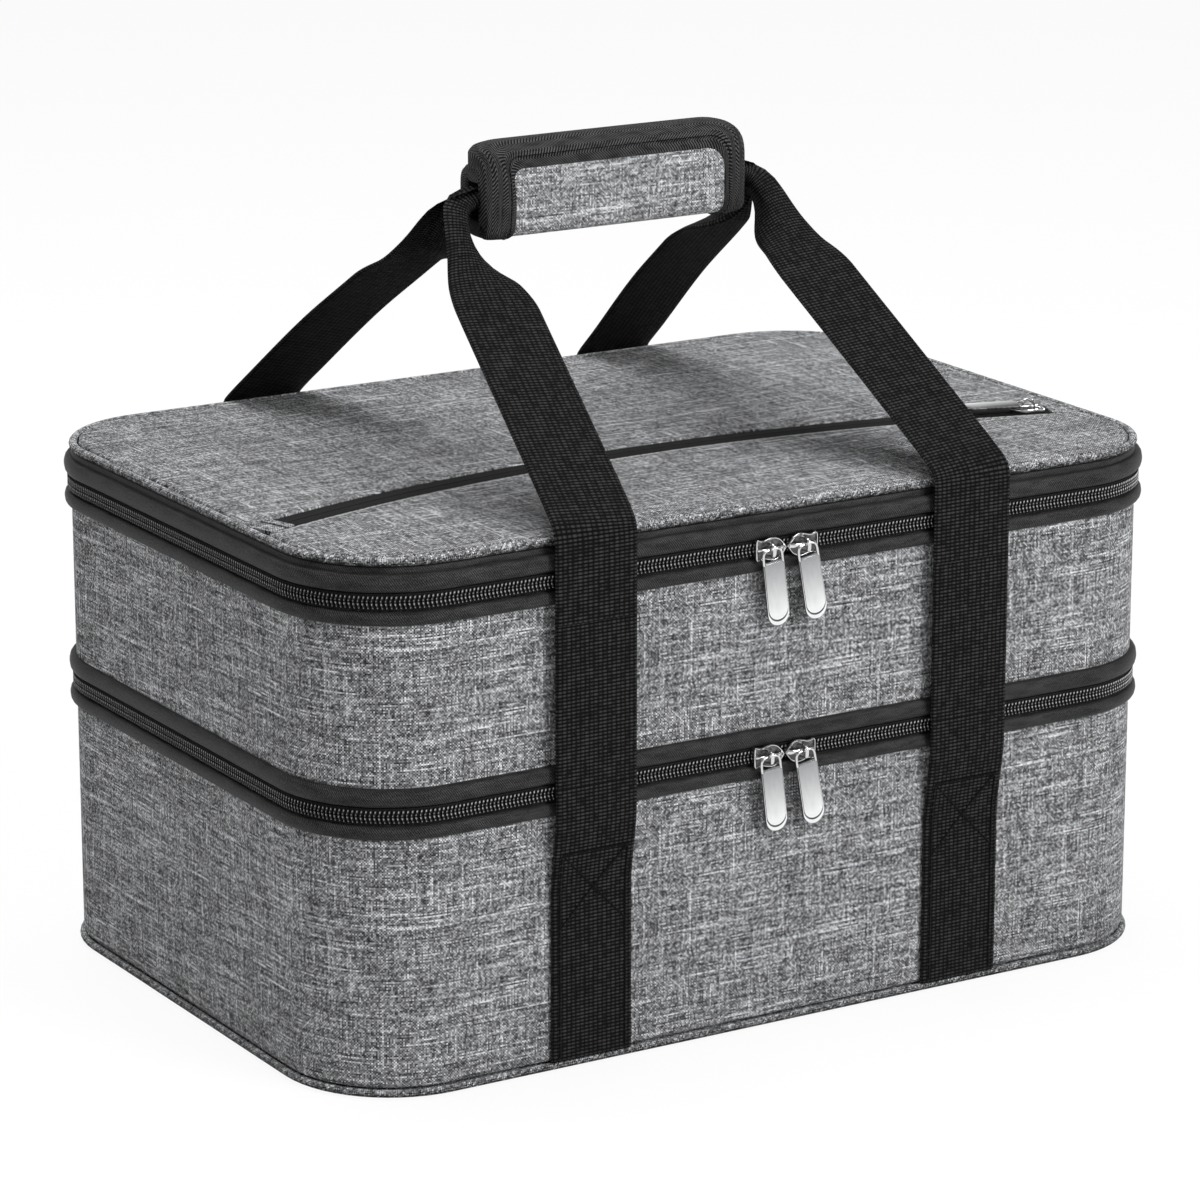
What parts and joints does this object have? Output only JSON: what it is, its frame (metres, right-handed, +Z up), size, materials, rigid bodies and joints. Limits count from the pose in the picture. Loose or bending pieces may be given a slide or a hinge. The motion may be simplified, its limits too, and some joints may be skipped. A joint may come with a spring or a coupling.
{
  "type": "casserole carrier",
  "caption": "Soft insulated two-deck carrier for covered baking dishes: zipped padded tubs with a pocketed lid, webbing handles and a wrap-round padded grip.",
  "frame": {"origin": "centre of the flat base face, where the carrier stands", "axes": "+X along the length, -Y the front with the zip pulls, +Z up"},
  "size_m": [0.416, 0.2935, 0.358],
  "materials": {
    "grey_cloth": "heather grey woven polyester over foam",
    "black_cloth": "black twill tape",
    "black_webbing": "ribbed black webbing",
    "black_coil": "moulded zip coil",
    "foil_lining": "silver heat-sealed lining film",
    "pale_foam": "closed-cell foam",
    "fibre_board": "stiff plain board",
    "bright_steel": "polished nickel"
  },
  "bodies": {
    "lower": {"base_panel": "grey_cloth", "base_welt": "grey_cloth", "base_board": "fibre_board", "lower_wall": "grey_cloth", "lower_lining": "foil_lining", "middle_hinge_tape": "black_cloth", "middle_zip_lower_coil": "black_coil", "middle_zip_lower_binding": "black_cloth", "front_left_strap_base": "black_webbing", "front_right_strap_base": "black_webbing", "back_left_strap_base": "black_webbing", "back_right_strap_base": "black_webbing"},
    "deck": {"deck_wall": "grey_cloth", "deck_under_lining": "foil_lining", "deck_floor": "pale_foam", "deck_lining": "foil_lining", "lid_hinge_tape": "black_cloth", "middle_zip_upper_coil": "black_coil", "middle_zip_upper_binding": "black_cloth", "top_zip_lower_coil": "black_coil", "top_zip_lower_binding": "black_cloth", "back_left_strap_run": "black_webbing", "back_right_strap_run": "black_webbing"},
    "lid": {"lid_wall": "grey_cloth", "lid_welt": "grey_cloth", "lid_front_panel": "grey_cloth", "lid_rear_panel": "grey_cloth", "pocket_zip_tape": "black_cloth", "pocket_pouch": "black_cloth", "lid_foam": "pale_foam", "lid_lining": "foil_lining", "top_zip_upper_coil": "black_coil", "top_zip_upper_binding": "black_cloth", "back_left_strap_knee": "black_webbing", "back_right_strap_knee": "black_webbing"},
    "front_straps": {"front_left_strap_run": "black_webbing", "front_right_strap_run": "black_webbing"},
    "front_knees": {"front_left_strap_knee": "black_webbing", "front_right_strap_knee": "black_webbing"},
    "front_handle": {"front_handle": "black_webbing"},
    "back_handle": {"back_handle": "black_webbing", "grip_wrap": "grey_cloth", "grip_loop_tape": "black_cloth"},
    "grip_flap": {"grip_flap": "grey_cloth", "grip_binding": "black_cloth", "grip_hook_tape": "black_cloth"},
    "middle_slider_left": {"middle_zip_slider_left": "bright_steel"},
    "middle_slider_right": {"middle_zip_slider_right": "bright_steel"},
    "middle_pull_left": {"middle_zip_pull_left": "bright_steel"},
    "middle_pull_right": {"middle_zip_pull_right": "bright_steel"},
    "top_slider_left": {"top_zip_slider_left": "bright_steel"},
    "top_slider_right": {"top_zip_slider_right": "bright_steel"},
    "top_pull_left": {"top_zip_pull_left": "bright_steel"},
    "top_pull_right": {"top_zip_pull_right": "bright_steel"},
    "pocket_slider": {"pocket_slider": "bright_steel"},
    "pocket_pull": {"pocket_pull": "bright_steel"}
  },
  "joints": [
    {"name": "deck_open", "type": "hinge", "parent": "lower", "child": "deck", "pos_m": [0, 0.14555, 0.1194], "axis": [-1, 0, 0], "range_deg": [0, 80], "deforming": ["middle_hinge_tape"]},
    {"name": "lid_open", "type": "hinge", "parent": "deck", "child": "lid", "pos_m": [0, 0.14555, 0.2076], "axis": [-1, 0, 0], "range_deg": [0, 90], "deforming": ["lid_hinge_tape"]},
    {"name": "front_strap_lean", "type": "hinge", "parent": "lower", "child": "front_straps", "pos_m": [0, -0.14145, 0.097], "axis": [1, 0, 0], "range_deg": [0, 80]},
    {"name": "front_knee_bend", "type": "hinge", "parent": "front_straps", "child": "front_knees", "pos_m": [0, -0.14555, 0.15], "axis": [1, 0, 0], "range_deg": [0, 54]},
    {"name": "front_handle_fold", "type": "hinge", "parent": "front_knees", "child": "front_handle", "pos_m": [0, -0.14555, 0.227], "axis": [-1, 0, 0], "range_deg": [-215, 0], "deforming": ["front_handle"]},
    {"name": "back_handle_fold", "type": "hinge", "parent": "lid", "child": "back_handle", "pos_m": [0, 0.14555, 0.227], "axis": [1, 0, 0], "range_deg": [-215, 0]},
    {"name": "grip_flap_open", "type": "hinge", "parent": "back_handle", "child": "grip_flap", "pos_m": [0, -0.0117, 0.318], "axis": [1, 0, 0], "range_deg": [0, 160]},
    {"name": "middle_slide_left", "type": "slide", "parent": "lower", "child": "middle_slider_left", "axis": [-1, 0, 0], "range_m": [0, 0.048]},
    {"name": "middle_slide_right", "type": "slide", "parent": "lower", "child": "middle_slider_right", "axis": [1, 0, 0], "range_m": [0, 0.048]},
    {"name": "middle_pull_left_swing", "type": "hinge", "parent": "middle_slider_left", "child": "middle_pull_left", "pos_m": [-0.0085, -0.14535, 0.1194], "axis": [-1, 0, 0], "range_deg": [0, 150]},
    {"name": "middle_pull_right_swing", "type": "hinge", "parent": "middle_slider_right", "child": "middle_pull_right", "pos_m": [0.0085, -0.14535, 0.1194], "axis": [-1, 0, 0], "range_deg": [0, 150]},
    {"name": "top_slide_left", "type": "slide", "parent": "deck", "child": "top_slider_left", "axis": [-1, 0, 0], "range_m": [0, 0.048]},
    {"name": "top_slide_right", "type": "slide", "parent": "deck", "child": "top_slider_right", "axis": [1, 0, 0], "range_m": [0, 0.048]},
    {"name": "top_pull_left_swing", "type": "hinge", "parent": "top_slider_left", "child": "top_pull_left", "pos_m": [-0.0085, -0.14535, 0.2076], "axis": [-1, 0, 0], "range_deg": [0, 150]},
    {"name": "top_pull_right_swing", "type": "hinge", "parent": "top_slider_right", "child": "top_pull_right", "pos_m": [0.0085, -0.14535, 0.2076], "axis": [-1, 0, 0], "range_deg": [0, 150]},
    {"name": "pocket_slide", "type": "hinge", "parent": "lid", "child": "pocket_slider", "pos_m": [0, -0.64068, 0.2252], "axis": [0, 0, 1], "range_deg": [0, 34.6]},
    {"name": "pocket_pull_swing", "type": "hinge", "parent": "pocket_slider", "child": "pocket_pull", "pos_m": [0.181, -0.06058, 0.22855], "axis": [0.2979, 0.9546, 0], "range_deg": [0, 165]}
  ],
  "couplings": [
    {"joint": "front_strap_lean", "follows": "deck_open", "ratio": 1},
    {"joint": "front_knee_bend", "follows": "lid_open", "ratio": 0.6}
  ]
}
